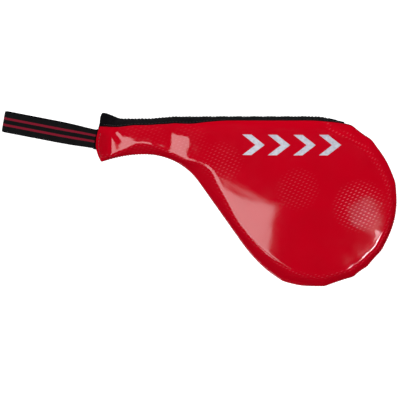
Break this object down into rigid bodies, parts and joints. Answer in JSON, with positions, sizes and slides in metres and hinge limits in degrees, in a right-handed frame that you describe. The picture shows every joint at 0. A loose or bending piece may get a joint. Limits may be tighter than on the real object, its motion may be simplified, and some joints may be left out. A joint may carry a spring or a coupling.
{
  "type": "kick paddle",
  "caption": "Padded drop-shaped kick paddle with a round strike blade, a sewn grip and an elastic wrist loop.",
  "frame": {"origin": "centre of the blade's round head, on the underside of the back cover, which the paddle lies on", "axes": "+X from the grip to the blade's tip, +Y towards the straight side, +Z out of the strike face"},
  "size_m": [0.4901, 0.2226, 0.0365],
  "materials": {
    "front_vinyl": "gloss",
    "gusset_fabric": "matte",
    "back_vinyl": "satin",
    "foam": "matte",
    "board": "satin",
    "core": "matte",
    "webbing": "matte",
    "black_thread": "matte",
    "red_thread": "matte",
    "print": "satin"
  },
  "bodies": {
    "paddle": {"front_cover": "front_vinyl", "top_gusset": "gusset_fabric", "back_cover": "back_vinyl", "front_foam": "foam", "rear_foam": "foam", "stiffener_board": "board", "grip_core": "core", "grip_pad_front": "foam", "grip_pad_rear": "foam", "strap_anchor": "webbing", "seam_thread_gusset_front": "black_thread", "seam_thread_gusset_back": "black_thread", "seam_thread_wrapped_side": "red_thread", "butt_closing_thread": "red_thread", "print_chevron_1": "print", "print_chevron_2": "print", "print_chevron_3": "print", "print_chevron_4": "print"},
    "strap": {"wrist_strap": "webbing"}
  },
  "joints": [
    {"name": "strap_swing", "type": "hinge", "parent": "paddle", "child": "strap", "pos_m": [-0.26936, 0.08076, 0.00695], "axis": [0.1925, 0.9813, 0], "range_deg": [-95, 110]}
  ]
}
